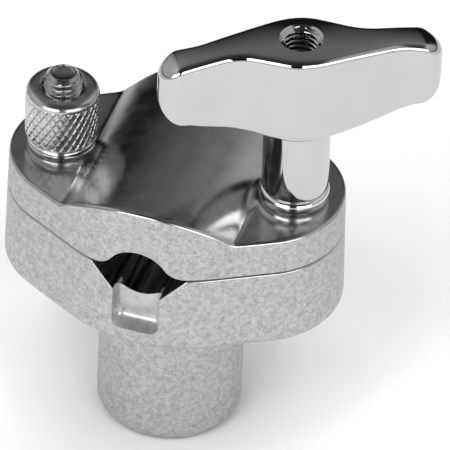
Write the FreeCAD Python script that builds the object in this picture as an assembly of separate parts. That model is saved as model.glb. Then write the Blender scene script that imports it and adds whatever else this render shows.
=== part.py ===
"""Two-stud V-jaw rod clamp on a round spigot: one STEP file per separate piece.

Frame: origin at the centre of the spigot's end face, +Z up the spigot to the handle,
+X from the knurled nut to the T-handle, -Y the face with the key slot. Millimetres.
"""
import FreeCAD, Part
import math
import os

V = FreeCAD.Vector
UP = V(0, 0, 1)

# ---- driving dimensions ------------------------------------------------------------
STUD_SPACING = 50.0            # between the two stud axes
THREAD_D = 8.0                 # M8 studs, their threads left as plain cylinders
ROD_D = 13.2                   # smallest rod, held with the jaws closed
SPIGOT_D = 30.0
SPIGOT_LENGTH = 34.7           # end face to the underside of the casting
BODY_HEIGHT = 18.6             # underside to the parting face
PARTING_GAP = 0.3              # between the closed jaws
JAW_THICKNESS = 8.0            # parting face to the pads round the studs
CREST_RISE = 7.5               # middle of the jaw above the pads
CREST_HALF_WIDTH = 18.3        # from the middle to the crease beside each pad

# plan outline of both castings: a lobe at each end, straight flanks, crowned front and back
LOBE_R = 17.8
LOBE_X = 17.5
CROWN_R = 30.5
HALF_DEPTH = 25.85             # from the stud plane to the middle of the front
DRAFT = math.radians(1.1)      # both castings widen downwards

# edges of the castings
UNDERSIDE_FILLET = 2.0
TOP_BEVEL = 0.8
CREASE_FILLET = 0.5            # root of the crest where it meets the pads
PARTING_BEVEL = 0.35
SPIGOT_END_FILLET = 3.0
SPIGOT_ROOT_FILLET = 1.5

# groove, arch and key slot
ROD_DROP = 0.82                # rod axis below the parting face
ARCH_SHOULDER_R = 5.0
SLOT_WIDTH = 10.0
SLOT_DEPTH = 3.5
SLOT_DROP = 14.5               # slot floor below the parting face
SLOT_CORNER_R = 1.5

# studs and springs
STUD_CLEARANCE = 0.03          # stud in the bores that it is fixed in or turns in
JAW_HOLE_D = 9.0
HINGE_STUD_LENGTH = 40.0
CLAMP_STUD_LENGTH = 55.0
HINGE_STUD_TOP = 79.6          # height of each stud's upper end
CLAMP_STUD_TOP = 94.6
STUD_TIP_CHAMFER = 1.0
STUD_CUP_D = 3.6
STUD_CUP_DEPTH = 0.5
SPRING_POCKET_D = 12.6
POCKET_DEPTH_BODY = 5.0
POCKET_DEPTH_JAW = 3.0
SPRING_WIRE_D = 1.0
SPRING_MEAN_D = 10.2
SPRING_HALF_TURNS = 9

# knurled nut and the ring under it
NUT_D = 15.2
NUT_HEIGHT = 12.4
NUT_CHAMFER = 0.8
NUT_SINK_D = 9.3
RING_D = 14.2
RING_HEIGHT = 2.25
RING_FILLET = 0.6

# T-handle and the washer under it
WASHER_D = 14.5
WASHER_HEIGHT = 3.15
WASHER_FILLET = 1.1
WASHER_HOLE_D = 8.6
POST_D = 13.8
POST_FILLET = 0.7
HANDLE_TOP = 41.2              # top of the hub above the pads
HANDLE_ANGLE = 29.0            # bar's direction from +X, seen from above
BAR_HALF_LENGTH = 29.2
BAR_DROP = 3.0                 # top of the bar falls this much towards each end
HUB_BOTTOM = 20.4              # bottom of the hub above the pads
BAR_RISE = 3.4                 # bottom of the bar rises this much towards each end
HUB_HALF_WIDTH = 8.1
# each arm is hollow on one side and fuller on the other: hub curvature, flank angle, waist half width
HOLLOW_SIDE = (10.9, math.radians(27.0), 3.05)
FULL_SIDE = (20.0, math.radians(14.0), 3.7)
WAIST_R = 12.5
END_R = 3.9
END_FACET_LENGTH = 3.7         # sloping facet on top of each end
END_FACET_DROP = 2.6
END_FACET_FILLET = 2.0
BAR_LOW_CORNER_R = 6.0
BAR_EDGE_FILLET = 1.4
HOLE_CHAMFER_D = 9.2

# ---- levels and places worked out from them -----------------------------------------
STUD_X = STUD_SPACING / 2
PARTING = SPIGOT_LENGTH + BODY_HEIGHT
JAW_BOTTOM = PARTING + PARTING_GAP
PAD = JAW_BOTTOM + JAW_THICKNESS
ROD_Z = PARTING - ROD_DROP
ROD_R = ROD_D / 2
CROWN_Y = HALF_DEPTH - CROWN_R
THREAD_R = THREAD_D / 2
STUD_R = THREAD_R - STUD_CLEARANCE
BORE_R = THREAD_R + STUD_CLEARANCE
PAST = 5.0                     # how far a cutting shape runs past what it cuts
NEAR = 1e-4                    # edges this close to a level lie in it


# ---- shapes used more than once -----------------------------------------------------
def cylinder(radius, z_low, z_high, x=0.0):
    return Part.makeCylinder(radius, z_high - z_low, V(x, 0, z_low))


def cone(r_low, r_high, z_low, z_high, x=0.0):
    return Part.makeCone(r_low, r_high, z_high - z_low, V(x, 0, z_low))


def arc(start, through, end):
    return Part.Arc(start, through, end).toShape()


def line(start, end):
    return Part.LineSegment(start, end).toShape()


def outline(z):
    """Casting outline at one height, all tangent, grown by the draft."""
    grow = (PAD - z) * math.tan(DRAFT)
    # normal of the straight flank that touches both the lobe and the crown
    normal = math.atan2(-CROWN_Y, LOBE_X) + math.acos((CROWN_R - LOBE_R) / math.hypot(LOBE_X, CROWN_Y))
    across = V(math.cos(normal), math.sin(normal), 0)
    lobe_end = V(LOBE_X, 0, z) + across * (LOBE_R + grow)
    crown_end = V(0, CROWN_Y, z) + across * (CROWN_R + grow)
    tip = V(LOBE_X + LOBE_R + grow, 0, z)
    middle = V(0, HALF_DEPTH + grow, z)

    def flip(p, sx, sy):
        return V(sx * p.x, sy * p.y, z)

    edges = []
    for side in (1, -1):
        edges += [
            arc(flip(lobe_end, side, -side), flip(tip, side, 1), flip(lobe_end, side, side)),
            line(flip(lobe_end, side, side), flip(crown_end, side, side)),
            arc(flip(crown_end, side, side), flip(middle, 1, side), flip(crown_end, -side, side)),
            line(flip(crown_end, -side, side), flip(lobe_end, -side, side)),
        ]
    return Part.Wire(edges)


def drafted_block(z_low, z_high):
    return Part.makeLoft([outline(z_low), outline(z_high)], True, True)


def along_y(edges):
    """Prism of a closed XZ profile, through the whole casting."""
    reach = 4 * HALF_DEPTH
    face = Part.Face(Part.Wire(edges))
    face.translate(V(0, -reach / 2, 0))
    return face.extrude(V(0, reach, 0))


def polyline(points):
    return [line(a, b) for a, b in zip(points, points[1:])]


def in_level(edge, z):
    return abs(edge.BoundBox.ZMin - z) < NEAR and abs(edge.BoundBox.ZMax - z) < NEAR


def outer_rim(shape, z):
    """Edges of the outside outline that lie in one level."""
    return [e for e in shape.Edges
            if in_level(e, z) and all(abs(v.Y) > THREAD_R or abs(v.X) > STUD_X for v in e.Vertexes)]


# ---- castings ------------------------------------------------------------------------
def v_groove():
    """Ninety-degree groove whose bottom is the rod's own radius."""
    touch = ROD_R * math.cos(math.radians(45))
    mouth = touch + (PARTING + PAST - (ROD_Z - touch))
    top = PARTING + PAST
    low_left = V(-touch, 0, ROD_Z - touch)
    low_right = V(touch, 0, ROD_Z - touch)
    return along_y([
        line(V(-mouth, 0, top), low_left),
        arc(low_left, V(0, 0, ROD_Z - ROD_R), low_right),
        line(low_right, V(mouth, 0, top)),
        line(V(mouth, 0, top), V(-mouth, 0, top)),
    ])


def key_slot():
    """Rectangular recess in the front face, from the groove down to a rounded floor."""
    front = -HALF_DEPTH
    floor = PARTING - SLOT_DROP
    slot = Part.makeBox(SLOT_WIDTH, PAST + SLOT_DEPTH, SLOT_DROP,
                        V(-SLOT_WIDTH / 2, front - PAST, floor))
    corners = [e for e in slot.Edges if in_level(e, floor) and e.BoundBox.YLength > SLOT_DEPTH]
    return slot.makeFillet(SLOT_CORNER_R, corners)


def make_lower_body():
    block = drafted_block(SPIGOT_LENGTH, PARTING)
    block = block.makeFillet(UNDERSIDE_FILLET, outer_rim(block, SPIGOT_LENGTH))
    block = block.makeChamfer(PARTING_BEVEL, outer_rim(block, PARTING))
    overlap = 2.0
    spigot = cylinder(SPIGOT_D / 2, 0, SPIGOT_LENGTH + overlap)
    spigot = spigot.makeFillet(SPIGOT_END_FILLET, [e for e in spigot.Edges if in_level(e, 0)])
    body = block.fuse(spigot).removeSplitter()
    root = [e for e in body.Edges
            if in_level(e, SPIGOT_LENGTH) and abs(e.BoundBox.XLength - SPIGOT_D) < NEAR]
    body = body.makeFillet(SPIGOT_ROOT_FILLET, root)
    body = body.cut(v_groove()).cut(key_slot())
    for x, foot in ((-STUD_X, HINGE_STUD_TOP - HINGE_STUD_LENGTH),
                    (STUD_X, CLAMP_STUD_TOP - CLAMP_STUD_LENGTH)):
        body = body.cut(cylinder(THREAD_R, foot, PARTING + PAST, x))
        body = body.cut(cylinder(SPRING_POCKET_D / 2, PARTING - POCKET_DEPTH_BODY, PARTING + PAST, x))
    return body


def jaw_top_profile():
    """Everything below the pads and below the arc that spans between them."""
    crest = PAD + CREST_RISE
    half = CREST_HALF_WIDTH
    wide = 2 * STUD_X
    low = JAW_BOTTOM - PAST
    edges = polyline([V(half, 0, PAD), V(wide, 0, PAD), V(wide, 0, low),
                      V(-wide, 0, low), V(-wide, 0, PAD), V(-half, 0, PAD)])
    edges.append(arc(V(-half, 0, PAD), V(0, 0, crest), V(half, 0, PAD)))
    return along_y(edges)


def arch():
    """Rod-radius arch under the jaw, with a rounded shoulder each side."""
    shoulder_z = JAW_BOTTOM + ARCH_SHOULDER_R
    reach = ROD_R + ARCH_SHOULDER_R
    shoulder_x = math.sqrt(reach ** 2 - (shoulder_z - ROD_Z) ** 2)
    share = ROD_R / reach
    touch = V(share * shoulder_x, 0, ROD_Z + share * (shoulder_z - ROD_Z))
    toward = V(-shoulder_x, 0, 0) + V(0, 0, ROD_Z - shoulder_z)
    halfway = (toward.normalize() + V(0, 0, -1)).normalize() * ARCH_SHOULDER_R
    middle = V(shoulder_x, 0, shoulder_z) + halfway
    foot = V(shoulder_x, 0, JAW_BOTTOM)
    low = JAW_BOTTOM - PAST

    def mirrored(p):
        return V(-p.x, 0, p.z)

    return along_y([
        arc(foot, middle, touch),
        arc(touch, V(0, 0, ROD_Z + ROD_R), mirrored(touch)),
        arc(mirrored(touch), mirrored(middle), mirrored(foot)),
        line(mirrored(foot), V(-shoulder_x, 0, low)),
        line(V(-shoulder_x, 0, low), V(shoulder_x, 0, low)),
        line(V(shoulder_x, 0, low), foot),
    ])


def make_upper_jaw():
    jaw = drafted_block(JAW_BOTTOM, PAD + CREST_RISE + PAST).common(jaw_top_profile())
    jaw = jaw.makeFillet(CREASE_FILLET, [e for e in top_edges(jaw) if runs_along_y(e)])
    jaw = jaw.makeChamfer(TOP_BEVEL, [e for e in top_edges(jaw) if not runs_along_y(e)])
    jaw = jaw.makeChamfer(PARTING_BEVEL, outer_rim(jaw, JAW_BOTTOM))
    jaw = jaw.cut(arch())
    for x in (-STUD_X, STUD_X):
        jaw = jaw.cut(cylinder(JAW_HOLE_D / 2, JAW_BOTTOM - PAST, PAD + PAST, x))
        jaw = jaw.cut(cylinder(SPRING_POCKET_D / 2, JAW_BOTTOM - PAST, JAW_BOTTOM + POCKET_DEPTH_JAW, x))
    return jaw


def top_edges(jaw):
    return [e for e in jaw.Edges if e.BoundBox.ZMin > PAD - NEAR]


def runs_along_y(edge):
    """True for the creases where the pads meet the crest, and for their fillets' borders."""
    return edge.BoundBox.XLength < NEAR < edge.BoundBox.YLength


# ---- studs, springs, rings -------------------------------------------------------------
def make_stud(x, length, top):
    foot = top - length
    stud = cylinder(STUD_R, foot, top, x)
    ends = [e for e in stud.Edges if e.BoundBox.ZLength < NEAR]
    stud = stud.makeChamfer(STUD_TIP_CHAMFER, ends)
    cup = cone(STUD_CUP_D / 4, STUD_CUP_D / 2, top - STUD_CUP_DEPTH, top, x)
    return stud.cut(cup)


def half_turn(x, side, z, climb):
    """Half a turn of spring wire: a half circle tilted so that it climbs by the given height."""
    coil_r = SPRING_MEAN_D / 2
    section = Part.Circle(V(x + side * coil_r, 0, z), V(0, 1, 0), SPRING_WIRE_D / 2)
    face = Part.Face(Part.Wire(section.toShape()))
    tilted_axis = V(climb, 0, 2 * side * coil_r) * side
    return face.revolve(V(x, 0, z + climb / 2), tilted_axis, 180)


def make_spring(x):
    low = PARTING - POCKET_DEPTH_BODY + SPRING_WIRE_D / 2
    high = JAW_BOTTOM + POCKET_DEPTH_JAW - SPRING_WIRE_D / 2
    climb = (high - low) / SPRING_HALF_TURNS
    turns = [half_turn(x, 1 - 2 * (i % 2), low + i * climb, climb) for i in range(SPRING_HALF_TURNS)]
    return turns[0].multiFuse(turns[1:]).Solids[0]


def ring(radius, hole_radius, z_low, z_high, fillet, x):
    blank = cylinder(radius, z_low, z_high, x)
    rims = [e for e in blank.Edges if e.BoundBox.ZLength < NEAR]
    blank = blank.makeFillet(fillet, rims)
    return blank.cut(cylinder(hole_radius, z_low - PAST, z_high + PAST, x))


def make_knurled_nut():
    low = PAD + RING_HEIGHT
    high = low + NUT_HEIGHT
    nut = cylinder(NUT_D / 2, low, high, -STUD_X)
    rims = [e for e in nut.Edges if e.BoundBox.ZLength < NEAR]
    nut = nut.makeChamfer(NUT_CHAMFER, rims)
    nut = nut.cut(cylinder(BORE_R, low - PAST, high + PAST, -STUD_X))
    sink = NUT_SINK_D / 2 - BORE_R
    nut = nut.cut(cone(BORE_R, NUT_SINK_D / 2, high - sink, high, -STUD_X))
    return nut.cut(cone(NUT_SINK_D / 2, BORE_R, low, low + sink, -STUD_X))


# ---- T-handle ----------------------------------------------------------------------------
def bar_quarter(z, hub_r, flank, waist_half_width):
    """Quarter of the bar's outline, from the middle of the hub to the tip, all tangent."""
    hub_y = HUB_HALF_WIDTH - hub_r
    waist_y = waist_half_width + WAIST_R
    end_x = BAR_HALF_LENGTH - END_R
    hub_edge = V(hub_r * math.sin(flank), hub_y + hub_r * math.cos(flank), z)
    waist_start_y = waist_y - WAIST_R * math.cos(flank)
    waist_start_x = hub_edge.x + (hub_edge.y - waist_start_y) / math.tan(flank)
    waist_x = waist_start_x + WAIST_R * math.sin(flank)
    # the straight that touches the waist arc and the end arc on opposite sides
    apart = math.hypot(end_x - waist_x, waist_y)
    angle = math.atan2(-waist_y, end_x - waist_x) - math.acos((WAIST_R + END_R) / apart)
    across = V(math.cos(angle), math.sin(angle), 0)
    waist_end = V(waist_x, waist_y, z) + across * WAIST_R
    end_start = V(end_x, 0, z) - across * END_R

    def on_hub(a):
        return V(hub_r * math.sin(a), hub_y + hub_r * math.cos(a), z)

    def on_waist(a):
        return V(waist_x + WAIST_R * math.cos(a), waist_y + WAIST_R * math.sin(a), z)

    def on_end(a):
        return V(end_x + END_R * math.cos(a), END_R * math.sin(a), z)

    waist_start_angle = -math.pi / 2 - flank
    end_angle = math.pi + angle
    return [
        arc(on_hub(0), on_hub(flank / 2), hub_edge),
        line(hub_edge, V(waist_start_x, waist_start_y, z)),
        arc(V(waist_start_x, waist_start_y, z), on_waist((waist_start_angle + angle) / 2), waist_end),
        line(waist_end, end_start),
        arc(end_start, on_end(end_angle / 2), on_end(0)),
    ]


def bar_plan(z):
    """Bar outline in plan, along X, the same when turned half round."""
    hollow = bar_quarter(z, *HOLLOW_SIDE)
    full = [e.mirror(V(0, 0, 0), V(0, 1, 0)) for e in bar_quarter(z, *FULL_SIDE)]
    half = hollow + full
    edges = half + [e.rotated(V(0, 0, 0), UP, 180) for e in half]
    return Part.Wire(Part.sortEdges(edges)[0])


def bar_side():
    """Prism of the bar's side view: arched top with a facet at each end, arched belly, rounded lower corners."""
    top = PAD + HANDLE_TOP
    belly = PAD + HUB_BOTTOM
    end = BAR_HALF_LENGTH
    low = belly + BAR_RISE
    corner = BAR_LOW_CORNER_R
    inset = corner * (1 - math.cos(math.radians(45)))
    wide = 4 * HUB_HALF_WIDTH

    def side(x, z):
        return V(x, -wide / 2, z)

    arch_r = (end ** 2 + BAR_DROP ** 2) / (2 * BAR_DROP)
    facet_x = end - END_FACET_LENGTH
    facet_z = top - arch_r + math.sqrt(arch_r ** 2 - facet_x ** 2)
    tip_z = facet_z - END_FACET_DROP
    profile = Part.Wire([
        arc(side(-facet_x, facet_z), side(0, top), side(facet_x, facet_z)),
        line(side(facet_x, facet_z), side(end, tip_z)),
        line(side(end, tip_z), side(end, low + corner)),
        arc(side(end, low + corner), side(end - inset, low + inset), side(end - corner, low)),
        arc(side(end - corner, low), side(0, belly), side(corner - end, low)),
        arc(side(corner - end, low), side(inset - end, low + inset), side(-end, low + corner)),
        line(side(-end, low + corner), side(-end, tip_z)),
        line(side(-end, tip_z), side(-facet_x, facet_z)),
    ])
    return Part.Face(profile).extrude(V(0, wide, 0))


def make_t_handle():
    foot = PAD + WASHER_HEIGHT
    top = PAD + HANDLE_TOP
    blank = Part.Face(bar_plan(PAD + HUB_BOTTOM - PAST)).extrude(V(0, 0, HANDLE_TOP))
    bar = blank.common(bar_side())
    rim_low = top - BAR_DROP - END_FACET_DROP - NEAR
    bar = bar.makeFillet(END_FACET_FILLET, [e for e in bar.Edges if e.BoundBox.ZMin > rim_low and runs_along_y(e)])
    bar = bar.makeFillet(BAR_EDGE_FILLET, [e for e in bar.Edges
                                           if e.BoundBox.ZMin > rim_low and not runs_along_y(e)])
    bar.rotate(V(0, 0, 0), UP, HANDLE_ANGLE)
    bar.translate(V(STUD_X, 0, 0))
    post = cylinder(POST_D / 2, foot, PAD + HUB_BOTTOM + PAST, STUD_X)
    post = post.makeFillet(POST_FILLET, [e for e in post.Edges if in_level(e, foot)])
    handle = bar.fuse(post)
    handle = handle.cut(cylinder(BORE_R, foot - PAST, top + PAST, STUD_X))
    sink = HOLE_CHAMFER_D / 2 - BORE_R
    return handle.cut(cone(BORE_R, HOLE_CHAMFER_D / 2 + PAST, top - sink, top + PAST, STUD_X))


# ---- the pieces ----------------------------------------------------------------------------
def make_pieces():
    return {
        "lower_body": make_lower_body(),
        "upper_jaw": make_upper_jaw(),
        "hinge_stud": make_stud(-STUD_X, HINGE_STUD_LENGTH, HINGE_STUD_TOP),
        "clamp_stud": make_stud(STUD_X, CLAMP_STUD_LENGTH, CLAMP_STUD_TOP),
        "hinge_spring": make_spring(-STUD_X),
        "clamp_spring": make_spring(STUD_X),
        "nut_ring": ring(RING_D / 2, WASHER_HOLE_D / 2, PAD, PAD + RING_HEIGHT, RING_FILLET, -STUD_X),
        "handle_washer": ring(WASHER_D / 2, WASHER_HOLE_D / 2, PAD, PAD + WASHER_HEIGHT,
                              WASHER_FILLET, STUD_X),
        "knurled_nut": make_knurled_nut(),
        "t_handle": make_t_handle(),
    }


def main():
    os.makedirs("parts", exist_ok=True)
    for node, shape in make_pieces().items():
        box = shape.BoundBox
        print(f"{node:14s} valid {shape.isValid()} solids {len(shape.Solids)} volume {shape.Volume:9.1f}"
              f"  x {box.XMin:.2f}..{box.XMax:.2f}  y {box.YMin:.2f}..{box.YMax:.2f}"
              f"  z {box.ZMin:.2f}..{box.ZMax:.2f}")
        shape.exportStep(f"parts/{node}.step")


main()
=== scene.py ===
"""V-jaw rod clamp: its looks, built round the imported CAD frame.

Sizes are in millimetres; they become metres when a mesh is made.
"""
import math

import bmesh
import bpy
import numpy as np
from mathutils import Matrix, Vector


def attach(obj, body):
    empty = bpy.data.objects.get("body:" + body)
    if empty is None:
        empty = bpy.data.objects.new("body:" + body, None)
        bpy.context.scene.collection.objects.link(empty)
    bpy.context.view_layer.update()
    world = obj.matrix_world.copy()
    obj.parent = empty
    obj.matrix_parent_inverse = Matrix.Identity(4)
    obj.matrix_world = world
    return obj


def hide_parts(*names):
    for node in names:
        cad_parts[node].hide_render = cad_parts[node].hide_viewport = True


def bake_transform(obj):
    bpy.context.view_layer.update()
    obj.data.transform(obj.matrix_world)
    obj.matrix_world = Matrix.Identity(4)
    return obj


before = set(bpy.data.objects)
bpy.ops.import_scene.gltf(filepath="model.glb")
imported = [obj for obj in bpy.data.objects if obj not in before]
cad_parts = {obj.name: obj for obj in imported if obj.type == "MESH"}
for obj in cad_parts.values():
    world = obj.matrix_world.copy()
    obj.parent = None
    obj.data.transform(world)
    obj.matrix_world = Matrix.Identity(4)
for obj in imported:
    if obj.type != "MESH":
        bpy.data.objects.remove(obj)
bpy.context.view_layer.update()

MM = 0.001

# ---- driving dimensions: the CAD part's, and the finer ones of its rims and threads --------------
STUD_X = 25.0
THREAD_R = 4.0
THREAD_PITCH = 1.25
THREAD_DEPTH = 0.72
THREAD_CREST = 0.1              # share of the pitch that is flat on the crest, and then the flank's share
THREAD_FLANK = 0.72
THREAD_PLAY = 0.05              # bores and the tapped hole are this much wider than the thread
THREAD_SINK = 0.03              # the studs' crests lie this far below the nominal radius
ROD_R = 6.6
SPIGOT_R = 15.0
SPIGOT_END_ROUND = 3.0
SPIGOT_ROOT_ROUND = 1.5
UNDERSIDE = 34.7
PARTING = 53.3
JAW_BOTTOM = 53.6
PAD = 61.6
CREST_RISE = 7.5
CREST_HALF_WIDTH = 18.3
CREASE_BLEND = 0.7              # soft corner between the crest and the pads
LOBE_R = 17.8
LOBE_X = 17.5
CROWN_R = 30.5
HALF_DEPTH = 25.85
DRAFT = math.radians(1.1)
BODY_RIM_ROUND = 0.45
UNDERSIDE_ROUND = 2.0
JAW_RIM_ROUND = 0.7
JAW_LOW_ROUND = 0.1
MOUTH_BLEND = 0.25              # soft corner between the V groove and the parting face
ROD_Z = PARTING - 0.82
ARCH_SHOULDER_R = 5.0
SLOT_WIDTH = 10.0
SLOT_DEPTH = 3.5
SLOT_FLOOR = PARTING - 14.5
SLOT_ROUND = 1.8
POCKET_R = 6.3
POCKET_LOW = PARTING - 5.0
POCKET_HIGH = JAW_BOTTOM + 3.0
JAW_HOLE_R = 4.5
STUD_FOOT = 39.6
HINGE_STUD_TOP = 79.6
CLAMP_STUD_TOP = 94.6
NUT_R = 7.6
NUT_LOW = PAD + 2.25
NUT_TOP = NUT_LOW + 12.4
NUT_CHAMFER = 0.9
NUT_TOP_ROUND = 1.7
NUT_SINK_R = 4.8
KNURL_AROUND = 29               # grooves each way round
KNURL_RISE = 2.82               # height of one diamond
KNURL_DEPTH = 0.3
KNURL_FLANK = 3.2               # the higher, the narrower the grooves
RING_R = 7.1
WASHER_R = 7.25
WASHER_TOP = PAD + 3.15
POST_R = 6.9
POST_FOOT_ROUND = 0.7
HANDLE_TOP = PAD + 41.2
BELLY = PAD + 20.4
HANDLE_ANGLE = math.radians(29.0)
BAR_HALF_LENGTH = 29.2
BAR_DROP = 3.0
BAR_RISE = 3.4
BAR_LOW_CORNER_R = 6.0
HUB_HALF_WIDTH = 8.1
# each arm is hollow on one side and fuller on the other: hub curvature, flank angle, waist half width
HOLLOW_SIDE = (10.9, math.radians(27.0), 3.05)
FULL_SIDE = (20.0, math.radians(14.0), 3.7)
WAIST_R = 12.5
END_R = 3.9
END_FACET_LENGTH = 3.7
END_FACET_DROP = 2.6
END_FACET_BLEND = 0.35
BAR_TOP_ROUND = 1.4
BAR_LOW_ROUND = 0.5
EDGE_TILT = 0.13                # slope of the bar's crowned top at its edges
BOSS_RISE = 0.45                # faint dome round the tapped hole
BOSS_REACH = 5.5
COUNTERSINK = 0.55
SPRING_WIRE_R = 0.5
SPRING_MEAN_R = 5.1
SPRING_TURNS = 4.5
SKIN = 0.02                     # side walls lie this far inside the CAD ones
PAST = 5.0                      # how far a cutting shape runs past what it cuts

# ---- camera, lamps and floor ---------------------------------------------------------------------
CAMERA_AZIMUTH = 16.572
CAMERA_ELEVATION = 39.87
CAMERA_ROLL = 0.042
CAMERA_DISTANCE = 2.0
CAMERA_LENS = 778.6
AIM_HEIGHT = 40.0               # the camera aims beside this point of the spigot's axis
AIM_RIGHT = 10.39
AIM_UP = 4.875
LAMP_DISTANCE = 1.1
FLOOR_REACH = 320.0
FLOOR_THICKNESS = 4.0

# ---- mesh helpers --------------------------------------------------------------------------------


def mesh_object(name, points, faces, sharp_angle=35.0):
    """A mesh object from points in millimetres, its faces turned outwards and smooth up to the angle."""
    mesh = bpy.data.meshes.new(name)
    mesh.from_pydata((np.asarray(points, float) * MM).tolist(), [], faces)
    tidy(mesh, sharp_angle)
    piece = bpy.data.objects.new(name, mesh)
    bpy.context.scene.collection.objects.link(piece)
    return piece


def tidy(mesh, sharp_angle):
    """Turns the faces outwards and shades them smooth up to the angle."""
    work = bmesh.new()
    work.from_mesh(mesh)
    bmesh.ops.recalc_face_normals(work, faces=work.faces)
    work.to_mesh(mesh)
    work.free()
    mesh.polygons.foreach_set("use_smooth", [True] * len(mesh.polygons))
    mesh.set_sharp_from_angle(angle=math.radians(sharp_angle))
    mesh.update()


def combine(piece, other, operation, sharp_angle=35.0):
    """Adds the other solid to a piece or cuts it away, and drops the other."""
    step = piece.modifiers.new("combine", "BOOLEAN")
    step.operation = operation
    step.solver = "EXACT"
    step.object = other
    graph = bpy.context.evaluated_depsgraph_get()
    graph.update()
    mesh = bpy.data.meshes.new_from_object(piece.evaluated_get(graph))
    piece.modifiers.clear()
    piece.data = mesh
    mesh.name = piece.name
    bpy.data.objects.remove(other)
    mesh.polygons.foreach_set("use_smooth", [True] * len(mesh.polygons))
    mesh.set_sharp_from_angle(angle=math.radians(sharp_angle))
    return piece


def turned(name, rows, x, closed=False, segments=96, sharp_angle=35.0):
    """Solid turned about a vertical axis at x, from rows of (radius, height).

    A radius is one number, or a list of them all the way round.
    """
    angles = np.arange(segments) * 2 * math.pi / segments
    points, loops = [], []
    for radius, z in rows:
        radius = np.broadcast_to(np.asarray(radius, float), (segments,))
        if radius.max() < 1e-6:
            loops.append([len(points)])
            points.append((x, 0.0, z))
            continue
        loops.append(list(range(len(points), len(points) + segments)))
        points += [(x + r * math.cos(a), r * math.sin(a), z) for r, a in zip(radius, angles)]
    faces = []
    pairs = list(zip(loops, loops[1:])) + ([(loops[-1], loops[0])] if closed else [])
    for low, high in pairs:
        for i in range(segments):
            j = (i + 1) % segments
            if len(low) == 1:
                faces.append((low[0], high[j], high[i]))
            elif len(high) == 1:
                faces.append((low[i], low[j], high[0]))
            else:
                faces.append((low[i], low[j], high[j], high[i]))
    return mesh_object(name, points, faces, sharp_angle)


def rounded(r, z, size, out, up, steps=6):
    """Rows of a quarter round whose sharp corner would be at (r, z): from the side wall to the flat."""
    rows = []
    for k in range(steps + 1):
        a = math.pi / 2 * k / steps
        rows.append((r - out * size * (1 - math.cos(a)), z - up * size * (1 - math.sin(a))))
    return rows


def soft_top(a, b, blend):
    """The larger of two heights, with the corner between them rounded."""
    return 0.5 * (a + b + np.sqrt((a - b) ** 2 + blend ** 2))


# ---- plan outlines: half width and outward normal at a distance along the piece ------------------


def piecewise_edge(x, pieces):
    """pieces: (reach, kind, ...) from the middle outwards, for the half with x > 0."""
    side = 1.0 if x >= 0 else -1.0
    u = abs(x)
    for reach, kind, a, b, c in pieces:
        if u <= reach + 1e-9:
            break
    if kind == "line":
        nx, ny = math.sin(c), math.cos(c)
        return b - (u - a) * math.tan(c), side * nx, ny
    height = math.sqrt(max(c * c - (u - a) ** 2, 0.0))
    if c > 0:
        return b + height, side * (u - a) / c, height / c
    return b - height, side * (u - a) / c, -height / c


def casting_pieces():
    """Quarter outline of both castings: the crown arc, a straight tangent and the lobe round the stud."""
    crown_y = HALF_DEPTH - CROWN_R
    across = math.atan2(-crown_y, LOBE_X) + math.acos((CROWN_R - LOBE_R) / math.hypot(LOBE_X, crown_y))
    lean = math.pi / 2 - across
    crown_x = CROWN_R * math.cos(across)
    crown_end_y = crown_y + CROWN_R * math.sin(across)
    lobe_x = LOBE_X + LOBE_R * math.cos(across)
    return [
        (crown_x, "arc", 0.0, crown_y, CROWN_R),
        (lobe_x, "line", crown_x, crown_end_y, lean),
        (LOBE_X + LOBE_R, "arc", LOBE_X, 0.0, LOBE_R),
    ]


def bar_pieces(hub_r, flank, waist_half_width):
    """One side of one arm of the T-bar: hub arc, straight flank, hollow waist and the round end."""
    hub_y = HUB_HALF_WIDTH - hub_r
    waist_y = waist_half_width + WAIST_R
    end_x = BAR_HALF_LENGTH - END_R
    hub_x = hub_r * math.sin(flank)
    hub_edge_y = hub_y + hub_r * math.cos(flank)
    waist_start_y = waist_y - WAIST_R * math.cos(flank)
    waist_start_x = hub_x + (hub_edge_y - waist_start_y) / math.tan(flank)
    waist_x = waist_start_x + WAIST_R * math.sin(flank)
    apart = math.hypot(end_x - waist_x, waist_y)
    angle = math.atan2(-waist_y, end_x - waist_x) - math.acos((WAIST_R + END_R) / apart)
    waist_end_x = waist_x + WAIST_R * math.cos(angle)
    waist_end_y = waist_y + WAIST_R * math.sin(angle)
    end_start_x = end_x - END_R * math.cos(angle)
    return [
        (hub_x, "arc", 0.0, hub_y, hub_r),
        (waist_start_x, "line", hub_x, hub_edge_y, flank),
        (waist_end_x, "arc", waist_x, waist_y, -WAIST_R),
        (end_start_x, "line", waist_end_x, waist_end_y, -math.pi / 2 - angle),
        (BAR_HALF_LENGTH, "arc", end_x, 0.0, END_R),
    ]


def casting_edge(x, side):
    """The castings' outline is the same on both sides."""
    return piecewise_edge(x, CASTING)


def bar_edge(x, side):
    """The outline is the same when turned half round, so the hollow sides lie opposite each other."""
    return piecewise_edge(x, BAR_HOLLOW if x * side > 0 else BAR_FULL)


def stations(half_length, tip_centre, tip_r, step, extra=()):
    """Places along a piece from its +x tip to its -x tip, close together round the tips."""
    turn = np.linspace(0, math.pi / 2, 40)
    right = set(np.round(tip_centre + tip_r * np.cos(turn), 5))
    right |= set(np.round(np.arange(0, tip_centre, step), 5))
    for centre, half, fine in extra:
        right |= set(np.round(np.arange(centre - half, centre + half, fine), 5))
    right = sorted(x for x in right if 0 <= x <= half_length)
    kept = [right[0]]
    for x in right[1:]:
        if x - kept[-1] > 0.03 or x == right[-1]:
            kept.append(x)
    return np.array(kept[::-1] + [-x for x in kept[1:]])


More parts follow.
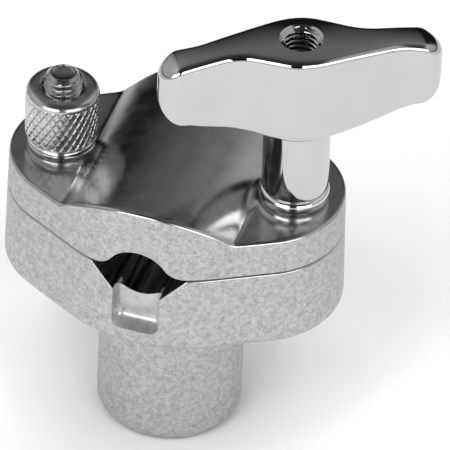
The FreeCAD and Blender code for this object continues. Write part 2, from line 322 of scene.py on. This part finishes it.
def slab(name, xs, edge, top, bottom, top_round, bottom_round, widen, walls=8, rungs=24, sharp_angle=35.0):
    """Closed solid over a plan outline, between two height functions of (x, y), with rounded rims.

    edge(x, side) gives the outline's half width and normal, and widen(z) how far the side stands out from
    it at a height. Straight rungs from side to side cover the top and the bottom.
    """
    count = len(xs)
    ring = [(xs[i], 1) for i in range(count)] + [(xs[i], -1) for i in range(count - 2, 0, -1)]
    around = len(ring)
    base, normal = np.zeros((around, 2)), np.zeros((around, 2))
    for i, (x, side) in enumerate(ring):
        half, nx, ny = edge(x, side)
        base[i] = x, side * half
        normal[i] = nx, side * ny
    base[0, 1] = base[count - 1, 1] = 0.0
    normal[0], normal[count - 1] = (1, 0), (-1, 0)
    rows = []

    def add_row(inset, height):
        place = base + normal * (widen(height(base))[:, None] - inset)
        rows.append(np.column_stack([place, height(place)]))

    steps = 6
    for k in range(steps + 1):
        a = math.pi / 2 * (1 - k / steps)
        rise = bottom_round * (1 - math.sin(a))
        add_row(bottom_round * (1 - math.cos(a)), lambda p, rise=rise: bottom(p[:, 0], p[:, 1]) + rise)
    for k in range(1, walls):
        add_row(0.0, lambda p, t=k / walls: (bottom(p[:, 0], p[:, 1]) + bottom_round) * (1 - t)
                + (top(p[:, 0], p[:, 1]) - top_round) * t)
    for k in range(steps + 1):
        a = math.pi / 2 * k / steps
        drop = top_round * (1 - math.sin(a))
        add_row(top_round * (1 - math.cos(a)), lambda p, drop=drop: top(p[:, 0], p[:, 1]) - drop)

    points, faces = [], []
    for row in rows:
        points += [tuple(p) for p in row]
    for r in range(len(rows) - 1):
        for i in range(around):
            j = (i + 1) % around
            faces.append((r * around + i, r * around + j, (r + 1) * around + j, (r + 1) * around + i))

    def cover(first, row, height):
        shares = np.linspace(0, 1, rungs + 1)[1:-1]
        made = []
        for i in range(1, count - 1):
            p = row[i, :2] + (row[around - i, :2] - row[i, :2]) * shares[:, None]
            start = len(points)
            points.extend(zip(p[:, 0], p[:, 1], height(p[:, 0], p[:, 1])))
            made.append([first + i] + list(range(start, start + len(p))) + [first + around - i])
        for tip, rung in ((first, made[0]), (first + count - 1, made[-1])):
            faces.extend((tip, p, q) for p, q in zip(rung, rung[1:]))
        for one, two in zip(made, made[1:]):
            faces.extend((one[k], one[k + 1], two[k + 1], two[k]) for k in range(rungs))

    cover(0, rows[0], bottom)
    cover((len(rows) - 1) * around, rows[-1], top)
    return mesh_object(name, points, faces, sharp_angle)


def widen_downwards(z):
    """The castings' draft, from the outline at the pads' height."""
    return (PAD - z) * math.tan(DRAFT) - SKIN


# ---- castings ------------------------------------------------------------------------------------


def body_top(x, y):
    """The parting face with the V groove, whose bottom is round."""
    touch = ROD_R * math.cos(math.pi / 4)
    u = np.abs(x)
    low = ROD_Z - np.sqrt(np.maximum(ROD_R ** 2 - np.minimum(u, touch) ** 2, 0))
    groove = np.where(u < touch, low, ROD_Z - touch + (u - touch))
    return -soft_top(-groove, np.full_like(u, -PARTING), MOUTH_BLEND)


def body_bottom(x, y):
    return np.full_like(x, UNDERSIDE)


def jaw_top(x, y):
    """Flat pads and the crest between them; the last term takes back what the soft corner adds."""
    radius = (CREST_HALF_WIDTH ** 2 + CREST_RISE ** 2) / (2 * CREST_RISE)
    arc = np.sqrt(np.maximum(radius ** 2 - x ** 2, 0)) - radius + CREST_RISE
    return PAD + soft_top(arc, np.zeros_like(x), CREASE_BLEND) - CREASE_BLEND ** 2 / 16


def jaw_bottom(x, y):
    """The jaw's parting face with the arch over the rod and its two round shoulders."""
    shoulder_z = JAW_BOTTOM + ARCH_SHOULDER_R
    reach = ROD_R + ARCH_SHOULDER_R
    shoulder_x = math.sqrt(reach ** 2 - (shoulder_z - ROD_Z) ** 2)
    touch = ROD_R / reach * shoulder_x
    u = np.abs(x)
    arch = ROD_Z + np.sqrt(np.maximum(ROD_R ** 2 - u ** 2, 0))
    shoulder = shoulder_z - np.sqrt(np.maximum(ARCH_SHOULDER_R ** 2 - (u - shoulder_x) ** 2, 0))
    return np.where(u < touch, arch, np.where(u < shoulder_x, shoulder, JAW_BOTTOM))


def pin(name, r, low, high, x, segments=96):
    return turned(name, [(0, low), (r, low), (r, high), (0, high)], x, segments=segments)


def rounded_box(name, low, high, size):
    """A cutting box with its floor and back edges rounded, but none of its top or front edges."""
    low, high = np.array(low), np.array(high)
    corners = [(a, b, c) for a in (low[0], high[0]) for b in (low[1], high[1]) for c in (low[2], high[2])]
    quads = [(0, 1, 3, 2), (4, 6, 7, 5), (0, 4, 5, 1), (2, 3, 7, 6), (0, 2, 6, 4), (1, 5, 7, 3)]
    box = mesh_object(name, corners, quads)
    work = bmesh.new()
    work.from_mesh(box.data)

    def lies_at(edge, axis, level):
        return all(abs(v.co[axis] - level * MM) < 1e-3 * MM for v in edge.verts)

    keep = [e for e in work.edges if lies_at(e, 2, low[2]) or lies_at(e, 1, high[1])]
    keep = [e for e in keep if not lies_at(e, 2, high[2]) and not lies_at(e, 1, low[1])]
    bmesh.ops.bevel(work, geom=keep, offset=size * MM, segments=5, affect="EDGES", profile=0.5,
                    clamp_overlap=True)
    work.to_mesh(box.data)
    work.free()
    tidy(box.data, 35)
    return box


CASTING = casting_pieces()
BAR_HOLLOW = bar_pieces(*HOLLOW_SIDE)
BAR_FULL = bar_pieces(*FULL_SIDE)
BAR_STEPS = np.linspace(0, BAR_HALF_LENGTH - 2.5, 60)
BAR_WIDTHS = [(piecewise_edge(x, BAR_HOLLOW)[0] + piecewise_edge(x, BAR_FULL)[0]) / 2 for x in BAR_STEPS]


def make_lower_body():
    mouth = ROD_R * math.cos(math.pi / 4) + (PARTING - (ROD_Z - ROD_R * math.cos(math.pi / 4)))
    xs = stations(LOBE_X + LOBE_R, LOBE_X, LOBE_R, 0.6, [(mouth, 0.9, 0.1)])
    body = slab("lower_body_look", xs, casting_edge, body_top, body_bottom, BODY_RIM_ROUND, UNDERSIDE_ROUND,
                widen_downwards)
    inside = UNDERSIDE + 2
    end = rounded(SPIGOT_R, 0.0, SPIGOT_END_ROUND, 1, -1, 10)[::-1]
    rows = [(0, 0)] + end + [(SPIGOT_R, z) for z in (12, 22, 30)]
    for a in np.linspace(0, math.pi / 2, 8):
        flare, sink = SPIGOT_ROOT_ROUND * (1 - math.cos(a)), SPIGOT_ROOT_ROUND * (1 - math.sin(a))
        rows.append((SPIGOT_R + flare, UNDERSIDE - sink))
    rows += [(SPIGOT_R + SPIGOT_ROOT_ROUND, inside), (0, inside)]
    combine(body, turned("spigot", rows, 0.0, segments=128), "UNION")
    slot = rounded_box("slot", (-SLOT_WIDTH / 2, -40, SLOT_FLOOR),
                       (SLOT_WIDTH / 2, -HALF_DEPTH + SLOT_DEPTH, PARTING + PAST), SLOT_ROUND)
    combine(body, slot, "DIFFERENCE")
    for x in (-STUD_X, STUD_X):
        combine(body, pin("pocket", POCKET_R, POCKET_LOW, PARTING + PAST, x), "DIFFERENCE")
        combine(body, pin("bore", THREAD_R + THREAD_PLAY, STUD_FOOT, PARTING + PAST, x), "DIFFERENCE")
    return body


def make_upper_jaw():
    shoulder_x = 10.2
    dense = [(CREST_HALF_WIDTH, 2.0, 0.14), (shoulder_x, 1, 0.25)]
    xs = stations(LOBE_X + LOBE_R, LOBE_X, LOBE_R, 0.5, dense)
    jaw = slab("upper_jaw_look", xs, casting_edge, jaw_top, jaw_bottom, JAW_RIM_ROUND, JAW_LOW_ROUND,
               widen_downwards, rungs=40)
    for x in (-STUD_X, STUD_X):
        combine(jaw, pin("hole", JAW_HOLE_R, JAW_BOTTOM - PAST, PAD + 9, x), "DIFFERENCE")
        combine(jaw, pin("pocket", POCKET_R, JAW_BOTTOM - PAST, POCKET_HIGH, x), "DIFFERENCE")
    return jaw


# ---- threads, nuts and rings ---------------------------------------------------------------------


def thread_radii(z, segments, grow=0.0):
    """Radius of an M8 thread round its axis at a height: narrow crests, rounded roots, right-hand."""
    turn = np.arange(segments) / segments
    phase = (z / THREAD_PITCH - turn) % 1.0
    flank = np.clip((np.abs(2 * phase - 1) - THREAD_CREST) / THREAD_FLANK, 0, 1)
    fall = (0.5 - 0.5 * np.cos(math.pi * flank)) ** 0.8
    return THREAD_R - THREAD_SINK + grow - THREAD_DEPTH * fall


def make_stud(name, x, top):
    """Threaded stud, its upper end chamfered and faintly cupped."""
    segments = 80
    chamfer, cup_r, cup = 1.3, 2.35, 0.4
    rows = [(0, STUD_FOOT), (2.9, STUD_FOOT)]
    step = THREAD_PITCH / 10
    for z in np.arange(STUD_FOOT + 0.02, top - 0.02, step):
        limit = THREAD_R - THREAD_SINK - max(chamfer - (top - z), 0) - max(chamfer - (z - STUD_FOOT), 0)
        rows.append((np.minimum(thread_radii(z, segments), limit), z))
    rim = THREAD_R - chamfer - THREAD_SINK
    rows += [(rim - 0.02, top - 0.01), (rim - 0.12, top), (cup_r + 0.05, top), (cup_r, top - 0.06)]
    for a in np.linspace(0.15, math.pi / 2, 8):
        rows.append((cup_r * math.cos(a), top - 0.06 - cup * math.sin(a)))
    rows[-1] = (0, top - 0.06 - cup)
    return turned(name, rows, x, segments=segments, sharp_angle=50)


def knurl_radii(z, segments):
    """Diamond knurl: flat-topped pyramids between two crossing sets of right and left hand grooves."""
    turn = np.arange(segments) / segments * KNURL_AROUND
    one = np.abs(((turn + z / KNURL_RISE) % 1.0) * 2 - 1)
    two = np.abs(((turn - z / KNURL_RISE) % 1.0) * 2 - 1)
    ridge = np.clip((1 - np.maximum(one, two)) * KNURL_FLANK, 0, 1)
    return NUT_R - KNURL_DEPTH + KNURL_DEPTH * ridge


def make_knurled_nut():
    """Round nut: a small chamfer below, the knurl, a wide soft shoulder and a countersink on top."""
    segments = KNURL_AROUND * 18
    bore = THREAD_R + 0.07
    plain_r = NUT_R - 0.12
    flat_r = NUT_R - NUT_CHAMFER
    rows = [(bore, NUT_LOW), (flat_r - 0.2, NUT_LOW), (flat_r, NUT_LOW + 0.06)]
    rows += [(NUT_R - NUT_CHAMFER * (1 - t), NUT_LOW + NUT_CHAMFER * t) for t in (0.5, 0.95)]
    first, last = NUT_LOW + NUT_CHAMFER, NUT_TOP - NUT_TOP_ROUND - 0.1
    for z in np.linspace(first, last, 110):
        share = min((z - first) / 0.25, (last - z) / 0.25, 1.0)
        rows.append((knurl_radii(z, segments) * share + plain_r * (1 - share), z))
    for a in np.radians(np.linspace(8, 82, 9)):
        rows.append((NUT_R - NUT_TOP_ROUND * (1 - math.cos(a)), NUT_TOP - NUT_TOP_ROUND * (1 - math.sin(a))))
    rows += [(NUT_R - NUT_TOP_ROUND - 0.2, NUT_TOP), (NUT_SINK_R + 0.15, NUT_TOP)]
    rows += [(NUT_SINK_R, NUT_TOP - 0.06), (bore + 0.15, NUT_TOP - 0.75), (bore, NUT_TOP - 1.0)]
    return turned("knurled_nut_look", rows, -STUD_X, closed=True, segments=segments, sharp_angle=60)


def make_ring(name, x, outer, low, high, fillet, groove):
    """Polished ring with rounded rims and, where asked, a fine turned line round its middle."""
    rows = [(4.3, low), (outer - fillet, low)]
    rows += rounded(outer, low, fillet, 1, -1, 8)[::-1][1:]
    if groove:
        middle = (low + high) / 2
        rows += [(outer, middle - 0.1), (outer - 0.12, middle), (outer, middle + 0.1)]
    rows += rounded(outer, high, fillet, 1, 1, 8)
    rows += [(4.45, high), (4.3, high - 0.15)]
    return turned(name, rows, x, closed=True, segments=128, sharp_angle=40)


def make_spring(name, x):
    """Compression spring between the floors of its two pockets, its end turns closed up."""
    low, high = POCKET_LOW + SPRING_WIRE_R, POCKET_HIGH - SPRING_WIRE_R
    steps, sides = int(SPRING_TURNS * 40), 12
    points, faces = [], []
    for i in range(steps + 1):
        t = i / steps
        a = 2 * math.pi * SPRING_TURNS * t
        z = low + (high - low) * (t - 0.035 * math.sin(2 * math.pi * t))
        for k in range(sides):
            b = 2 * math.pi * k / sides
            r = SPRING_MEAN_R + SPRING_WIRE_R * math.cos(b)
            points.append((x + r * math.cos(a), r * math.sin(a), z + SPRING_WIRE_R * math.sin(b)))
    for i in range(steps):
        for k in range(sides):
            j = (k + 1) % sides
            faces.append((i * sides + k, i * sides + j, (i + 1) * sides + j, (i + 1) * sides + k))
    faces.append(tuple(range(sides)))
    faces.append(tuple(steps * sides + k for k in reversed(range(sides))))
    return mesh_object(name, points, faces, 50)


# ---- T-handle ------------------------------------------------------------------------------------


def bar_top(x, y):
    """Long arch with a sloping facet at each end, faintly crowned from side to side."""
    radius = (BAR_HALF_LENGTH ** 2 + BAR_DROP ** 2) / (2 * BAR_DROP)
    arch = np.sqrt(radius ** 2 - x ** 2) - radius
    facet_x = BAR_HALF_LENGTH - END_FACET_LENGTH
    facet_z = math.sqrt(radius ** 2 - facet_x ** 2) - radius
    facet = facet_z - (np.abs(x) - facet_x) * END_FACET_DROP / END_FACET_LENGTH
    half = np.interp(np.abs(x), BAR_STEPS, BAR_WIDTHS)
    crown = EDGE_TILT / 2 * y ** 2 / half
    rim = math.exp(-(THREAD_R / BOSS_REACH) ** 2)
    dome = BOSS_RISE * (np.exp(-(x ** 2 + y ** 2) / BOSS_REACH ** 2) - rim)
    return HANDLE_TOP - soft_top(-arch, -facet, END_FACET_BLEND) - crown + dome


def bar_bottom(x, y):
    """The bar's belly rises towards the ends and turns up in a round corner at each tip."""
    flat_end = BAR_HALF_LENGTH - BAR_LOW_CORNER_R
    radius = (flat_end ** 2 + BAR_RISE ** 2) / (2 * BAR_RISE)
    u = np.minimum(np.abs(x), flat_end)
    belly = BELLY + radius - np.sqrt(radius ** 2 - u ** 2)
    past = np.clip(np.abs(x) - flat_end, 0, BAR_LOW_CORNER_R)
    corner = BAR_LOW_CORNER_R - np.sqrt(np.maximum(BAR_LOW_CORNER_R ** 2 - past ** 2, 0))
    return belly + corner


def make_t_handle():
    """T-bar and post in one, tapped right through, the hole countersunk on top."""
    xs = stations(BAR_HALF_LENGTH, BAR_HALF_LENGTH - END_R, END_R, 0.35,
                  [(BAR_HALF_LENGTH - END_FACET_LENGTH, 1.2, 0.12)])
    bar = slab("t_handle_look", xs, bar_edge, bar_top, bar_bottom, BAR_TOP_ROUND, BAR_LOW_ROUND,
               lambda z: np.full_like(z, -SKIN), walls=16, rungs=24)
    inside = BELLY + 5
    rows = [(0, WASHER_TOP), (POST_R - POST_FOOT_ROUND, WASHER_TOP)]
    rows += rounded(POST_R, WASHER_TOP, POST_FOOT_ROUND, 1, -1, 8)[::-1][1:]
    rows += [(POST_R, z) for z in np.linspace(WASHER_TOP + 2, inside, 8)] + [(0, inside)]
    combine(bar, turned("post", rows, 0.0, segments=128), "UNION")
    segments = 72
    hole_r = THREAD_R + THREAD_PLAY
    rows = [(0, WASHER_TOP - 1), (hole_r, WASHER_TOP - 1)]
    for z in np.arange(WASHER_TOP - 0.9, HANDLE_TOP + 0.4, THREAD_PITCH / 10):
        flare = hole_r + (z - (HANDLE_TOP - COUNTERSINK))
        rows.append((np.maximum(thread_radii(z, segments, THREAD_PLAY), flare), z))
    rows += [(THREAD_R + 1.1, HANDLE_TOP + 0.6), (0, HANDLE_TOP + 0.6)]
    combine(bar, turned("tap", rows, 0.0, segments=segments), "DIFFERENCE", 40)
    bar.data.transform(Matrix.Translation((STUD_X * MM, 0, 0)) @ Matrix.Rotation(HANDLE_ANGLE, 4, "Z"))
    return bar


# ---- materials -----------------------------------------------------------------------------------


def shader(name):
    """A new node material: itself, its nodes and links, and its surface shader."""
    material = bpy.data.materials.new(name)
    material.use_nodes = True
    nodes, links = material.node_tree.nodes, material.node_tree.links
    return material, nodes, links, nodes["Principled BSDF"]


def node(nodes, kind, **settings):
    """A new node; each setting is one of its inputs or one of its options."""
    made = nodes.new(kind)
    for key, value in settings.items():
        if key in made.inputs:
            made.inputs[key].default_value = value
        else:
            setattr(made, key, value)
    return made


def ramp(nodes, links, source, low, high, a, b):
    """Runs from a to b while the source runs from low to high, and stays flat beyond."""
    out = node(nodes, "ShaderNodeMapRange", clamp=True)
    out.inputs["From Min"].default_value = low
    out.inputs["From Max"].default_value = high
    out.inputs["To Min"].default_value = a
    out.inputs["To Max"].default_value = b
    links.new(source, out.inputs["Value"])
    return out.outputs["Result"]


def grain(nodes, links, scale, detail=3.0, stretch=(1, 1, 1)):
    """Noise fixed to the piece, scale ripples to the metre."""
    place = node(nodes, "ShaderNodeTexCoord")
    squeeze = node(nodes, "ShaderNodeMapping")
    squeeze.inputs["Scale"].default_value = stretch
    links.new(place.outputs["Object"], squeeze.inputs["Vector"])
    noise = node(nodes, "ShaderNodeTexNoise", Scale=scale, Detail=detail, Roughness=0.6)
    links.new(squeeze.outputs["Vector"], noise.inputs["Vector"])
    return noise.outputs["Fac"]


def grey(nodes, links, source):
    """A neutral colour of that brightness."""
    tone = node(nodes, "ShaderNodeCombineColor")
    for channel in ("Red", "Green", "Blue"):
        links.new(source, tone.inputs[channel])
    return tone.outputs["Color"]


def bump(nodes, links, height, strength, distance_mm, shade):
    """Fine relief on a surface shader."""
    relief = node(nodes, "ShaderNodeBump", Strength=strength, Distance=distance_mm * MM)
    links.new(height, relief.inputs["Height"])
    links.new(relief.outputs["Normal"], shade.inputs["Normal"])


def tumbled_casting():
    """Matt tumbled metal, mottled in soft blotches and fine grain."""
    material, nodes, links, shade = shader("tumbled_casting")
    shade.inputs["Metallic"].default_value = 0.88
    blotch = grain(nodes, links, 850, 5)
    fine = grain(nodes, links, 2600, 2)
    mix = node(nodes, "ShaderNodeMath", operation="ADD")
    links.new(blotch, mix.inputs[0])
    links.new(fine, mix.inputs[1])
    tone = ramp(nodes, links, mix.outputs[0], 0.75, 1.25, 0.34, 0.55)
    links.new(grey(nodes, links, tone), shade.inputs["Base Color"])
    links.new(ramp(nodes, links, blotch, 0.3, 0.7, 0.62, 0.5), shade.inputs["Roughness"])
    bump(nodes, links, fine, 0.25, 0.05, shade)
    return material


def polished_casting(name, metallic, low, high, rough_low, rough_high):
    """Buffed casting between two tones and two roughnesses, hazy in patches."""
    material, nodes, links, shade = shader(name)
    shade.inputs["Metallic"].default_value = metallic
    haze = grain(nodes, links, 180, 5)
    fine = grain(nodes, links, 2600, 2)
    tone = ramp(nodes, links, haze, 0.3, 0.7, low, high)
    links.new(grey(nodes, links, tone), shade.inputs["Base Color"])
    links.new(ramp(nodes, links, haze, 0.35, 0.65, rough_low, rough_high), shade.inputs["Roughness"])
    bump(nodes, links, fine, 0.06, 0.02, shade)
    return material


def bore_painted_shade():
    """The machined groove and arch, with painted shade of the rod's tunnel in their dark tone and tool streaks
    along the rod.
    """
    material, nodes, links, shade = shader("bore_painted_shade")
    shade.inputs["Metallic"].default_value = 1.0
    streaks = grain(nodes, links, 700, 3, (1, 0.03, 1))
    # the dark low end of this tone is painted shade inside the rod's tunnel; the streaks are tool marks
    tone = ramp(nodes, links, streaks, 0.4, 0.68, 0.05, 0.7)
    links.new(grey(nodes, links, tone), shade.inputs["Base Color"])
    shade.inputs["Roughness"].default_value = 0.3
    bump(nodes, links, streaks, 0.08, 0.03, shade)
    return material


def mirror_chrome():
    """Chrome plating with faint smears and a faint waviness."""
    material, nodes, links, shade = shader("mirror_chrome")
    shade.inputs["Metallic"].default_value = 1.0
    smear = grain(nodes, links, 90, 3)
    tone = ramp(nodes, links, smear, 0.3, 0.7, 0.52, 0.55)
    links.new(grey(nodes, links, tone), shade.inputs["Base Color"])
    links.new(ramp(nodes, links, smear, 0.3, 0.7, 0.025, 0.055), shade.inputs["Roughness"])
    bump(nodes, links, grain(nodes, links, 160, 2), 0.03, 0.05, shade)
    return material


def bright_steel(name, low, high, rough_low, rough_high, stretch=(1, 1, 12)):
    """Turned steel between two tones and two roughnesses; the stretch draws the grain into lines."""
    material, nodes, links, shade = shader(name)
    shade.inputs["Metallic"].default_value = 1.0
    lines = grain(nodes, links, 300, 3, stretch)
    tone = ramp(nodes, links, lines, 0.3, 0.7, low, high)
    links.new(grey(nodes, links, tone), shade.inputs["Base Color"])
    links.new(ramp(nodes, links, lines, 0.3, 0.7, rough_low, rough_high), shade.inputs["Roughness"])
    bump(nodes, links, lines, 0.05, 0.03, shade)
    return material


def paint(piece, *materials):
    piece.data.materials.clear()
    for material in materials:
        piece.data.materials.append(material)
    return piece


def paint_top(jaw):
    """The jaw's upward faces are polished, its rim among them; its arch is given painted shade and its sides are
    cast.
    """
    for face in jaw.data.polygons:
        # arch: the downward faces over the rod, painted dark as the shade inside the tunnel
        arch = face.normal.z < -0.3 and face.center.z > (JAW_BOTTOM + 0.4) * MM
        top = face.normal.z > 0.3 and face.center.z > (PAD - 1.0) * MM
        face.material_index = 1 if top else 2 if arch else 0


def paint_body(body):
    """The key slot is worn, the groove is given painted shade, the parting face and its rims are polished; the
    rest is cast.
    """
    front = -HALF_DEPTH
    for face in body.data.polygons:
        centre, normal = face.center / MM, face.normal
        in_slot = abs(centre.x) < SLOT_WIDTH / 2 + 0.01 and centre.z > SLOT_FLOOR - 0.01
        in_slot = in_slot and front - 0.3 < centre.y < front + SLOT_DEPTH + 0.01
        front_face = normal.y < -0.9 and centre.y < front + 0.7
        slot = in_slot and not front_face
        # groove: the V faces inside the rod's tunnel, painted dark as the shade there
        level = ROD_Z - ROD_R - 0.1 < centre.z < PARTING - 0.25
        groove = level and abs(centre.x) < 11 and normal.z > 0.5 and abs(normal.y) < 0.5
        parting = normal.z > 0.25 and centre.z > PARTING - 6.5
        face.material_index = 1 if slot else 2 if groove else 3 if parting else 0


# ---- the pieces ----------------------------------------------------------------------------------


def place(piece, body, node_name, slot, *materials):
    """Paints a piece, sets it on its moving body and hides the CAD node that it stands for."""
    paint(piece, *materials)
    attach(piece, body)
    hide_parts(node_name)


CAST = tumbled_casting()
POLISHED = polished_casting("polished_casting", 1.0, 0.40, 0.54, 0.15, 0.26)
WORN = polished_casting("worn_casting", 0.72, 0.34, 0.6, 0.24, 0.38)
# painted shade for the groove and the arch inside the rod's tunnel
BORE_PAINTED_SHADE = bore_painted_shade()
CHROME = mirror_chrome()
THREAD_STEEL = bright_steel("thread_steel", 0.34, 0.5, 0.16, 0.28)
SPRING_STEEL = bright_steel("spring_steel", 0.35, 0.5, 0.25, 0.4)
RING_STEEL = bright_steel("ring_steel", 0.7, 0.82, 0.06, 0.12)
NUT_PLATE = bright_steel("nut_plate", 0.42, 0.58, 0.2, 0.3, (1, 1, 1))

lower_body = make_lower_body()
place(lower_body, "base", "lower_body", "cast_alloy", CAST, WORN, BORE_PAINTED_SHADE, POLISHED)
paint_body(lower_body)
upper_jaw = make_upper_jaw()
place(upper_jaw, "jaw", "upper_jaw", "jaw_alloy", CAST, POLISHED, BORE_PAINTED_SHADE)
paint_top(upper_jaw)
place(make_stud("hinge_stud_look", -STUD_X, HINGE_STUD_TOP), "base", "hinge_stud", "stud_steel",
      THREAD_STEEL)
place(make_stud("clamp_stud_look", STUD_X, CLAMP_STUD_TOP), "base", "clamp_stud", "stud_steel", THREAD_STEEL)
place(make_ring("nut_ring_look", -STUD_X, RING_R, PAD, NUT_LOW, 0.6, True), "jaw", "nut_ring",
      "polished_steel", RING_STEEL)
place(make_ring("handle_washer_look", STUD_X, WASHER_R, PAD, WASHER_TOP, 1.1, False), "jaw", "handle_washer",
      "polished_steel", RING_STEEL)
place(make_knurled_nut(), "nut", "knurled_nut", "nut_plating", NUT_PLATE)
place(make_t_handle(), "handle", "t_handle", "handle_chrome", CHROME)
for name, x in (("hinge_spring", -STUD_X), ("clamp_spring", STUD_X)):
    spring = paint(make_spring(name + "_look", x), SPRING_STEEL)
    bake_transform(spring)
    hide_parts(name)

# ---- stage, light and camera ---------------------------------------------------------------------


def make_floor():
    """A round pale floor with a painted shadow that makes it a little darker under the object."""
    rows = [(0, -FLOOR_THICKNESS), (FLOOR_REACH, -FLOOR_THICKNESS), (FLOOR_REACH, 0), (0, 0)]
    floor = turned("floor", rows, 0.0, segments=128)
    material, nodes, links, shade = shader("pale_floor")
    spot = node(nodes, "ShaderNodeTexCoord")
    away = node(nodes, "ShaderNodeVectorMath", operation="LENGTH")
    links.new(spot.outputs["Object"], away.inputs[0])
    # faint random clouds plus a painted shadow: the colour darkens from 0.79 to 0.57 towards the object's foot
    clouds_and_painted_shadow = node(nodes, "ShaderNodeMath", operation="MULTIPLY_ADD")
    links.new(grain(nodes, links, 3, 2), clouds_and_painted_shadow.inputs[0])
    clouds_and_painted_shadow.inputs[1].default_value = 0.02
    links.new(ramp(nodes, links, away.outputs["Value"], 0.014, 0.045, 0.57, 0.79), clouds_and_painted_shadow.inputs[2])
    links.new(grey(nodes, links, clouds_and_painted_shadow.outputs[0]), shade.inputs["Base Color"])
    shade.inputs["Roughness"].default_value = 0.9
    shade.inputs["Specular IOR Level"].default_value = 0.1
    paint(floor, material)


def direction(azimuth, elevation):
    """Unit vector towards a camera or lamp at those angles, in degrees."""
    a, e = math.radians(azimuth), math.radians(elevation)
    return Vector((math.sin(a) * math.cos(e), -math.cos(a) * math.cos(e), math.sin(e)))


def camera_right():
    """Level unit vector to the camera's right."""
    a = math.radians(CAMERA_AZIMUTH)
    return Vector((math.cos(a), math.sin(a), 0))


def softbox(name, side, low, high, inner, outer, radiance):
    """A lamp panel on one side of the camera, between two elevations in degrees.

    inner and outer are its edges' places to the side, as shares of its distance.
    """
    back = direction(CAMERA_AZIMUTH, (low + high) / 2)
    level = camera_right()
    light = bpy.data.lights.new(name, "AREA")
    light.shape = "RECTANGLE"
    light.size = (outer - inner) * LAMP_DISTANCE
    light.size_y = 2 * LAMP_DISTANCE * math.tan(math.radians(high - low) / 2)
    light.energy = radiance * math.pi * light.size * light.size_y
    lamp = bpy.data.objects.new(name, light)
    bpy.context.scene.collection.objects.link(lamp)
    aside = side * (outer + inner) / 2 * LAMP_DISTANCE
    centre = back * LAMP_DISTANCE + level * aside + Vector((0, 0, 0.07))
    turn = Matrix((level, back.cross(level), back)).transposed().to_4x4()
    lamp.matrix_world = Matrix.Translation(centre) @ turn
    return lamp


def make_world():
    """A dark studio: a grey glow high up beyond the object, light walls far to each side, a pale ground.

    The camera itself sees a plain pale backdrop.
    """
    world = bpy.data.worlds.new("studio")
    world.use_nodes = True
    bpy.context.scene.world = world
    nodes, links = world.node_tree.nodes, world.node_tree.links
    backdrop = nodes["Background"]
    ray = node(nodes, "ShaderNodeTexCoord")
    split = node(nodes, "ShaderNodeSeparateXYZ")
    links.new(ray.outputs["Generated"], split.inputs["Vector"])
    height = split.outputs["Z"]

    def along(axis):
        dot = node(nodes, "ShaderNodeVectorMath", operation="DOT_PRODUCT")
        dot.inputs[1].default_value = axis
        links.new(ray.outputs["Generated"], dot.inputs[0])
        return dot.outputs["Value"]

    def math_node(operation, *sources):
        made = node(nodes, "ShaderNodeMath", operation=operation)
        for place_in, source in zip(made.inputs, sources):
            if isinstance(source, float):
                place_in.default_value = source
            else:
                links.new(source, place_in)
        return made.outputs[0]

    right = camera_right()
    aside = math_node("ABSOLUTE", along(right))
    beyond = along((-right.y, right.x, 0))
    high_up = ramp(nodes, links, height, 0.42, 0.7, 0.0, 1.0)
    far_side = ramp(nodes, links, beyond, -0.3, 0.6, 0.15, 1.0)
    ceiling = math_node("MULTIPLY", high_up, far_side)
    glow = math_node("MULTIPLY_ADD", ramp(nodes, links, aside, 0.15, 0.5, 0.19, 0.4), ceiling, 0.012)
    above = ramp(nodes, links, height, 0.0, 0.15, 0.0, 1.0)
    walls = math_node("MULTIPLY_ADD", ramp(nodes, links, aside, 0.5, 0.68, 0.0, 0.55), above, glow)
    tone = math_node("ADD", walls, ramp(nodes, links, height, -0.03, 0.0, 0.8, 0.0))
    seen = node(nodes, "ShaderNodeLightPath")
    pick = node(nodes, "ShaderNodeMix", data_type="FLOAT")
    links.new(seen.outputs["Is Camera Ray"], pick.inputs["Factor"])
    links.new(tone, pick.inputs["A"])
    pick.inputs["B"].default_value = 0.95
    links.new(grey(nodes, links, pick.outputs["Result"]), backdrop.inputs["Color"])
    backdrop.inputs["Strength"].default_value = 1.0


def make_camera():
    """A long lens far off, turned a little about its own axis."""
    back = direction(CAMERA_AZIMUTH, CAMERA_ELEVATION)
    level = camera_right()
    upright = back.cross(level)
    right = level * math.cos(CAMERA_ROLL) + upright * math.sin(CAMERA_ROLL)
    up = upright * math.cos(CAMERA_ROLL) - level * math.sin(CAMERA_ROLL)
    lens = bpy.data.cameras.new("camera")
    lens.lens = CAMERA_LENS
    lens.sensor_width = 36.0
    lens.clip_end = 20.0
    camera = bpy.data.objects.new("camera", lens)
    bpy.context.scene.collection.objects.link(camera)
    aim = (Vector((0, 0, AIM_HEIGHT)) + right * AIM_RIGHT + up * AIM_UP) * MM
    turn = Matrix((right, up, back)).transposed().to_4x4()
    camera.matrix_world = Matrix.Translation(aim + back * CAMERA_DISTANCE) @ turn
    bpy.context.scene.camera = camera


make_floor()
make_world()
# two low panels with a dark gap between them, which the polished metal mirrors
softbox("left_panel", -1, 4, 35, 0.19, 1.3, 4.4)
softbox("right_panel", 1, 4, 35, 0.19, 1.3, 3.4)
# higher lamps that light the matt surfaces but that metal doesn't mirror
for fill in (softbox("left_fill", -1, 44, 72, 0.19, 0.58, 10.5),
             softbox("right_fill", 1, 44, 72, 0.19, 0.58, 7.0),
             softbox("back_fill", 0, 115, 145, -0.5, 0.5, 3.0)):
    fill.visible_glossy = False
make_camera()
bpy.context.scene.view_settings.view_transform = "Standard"
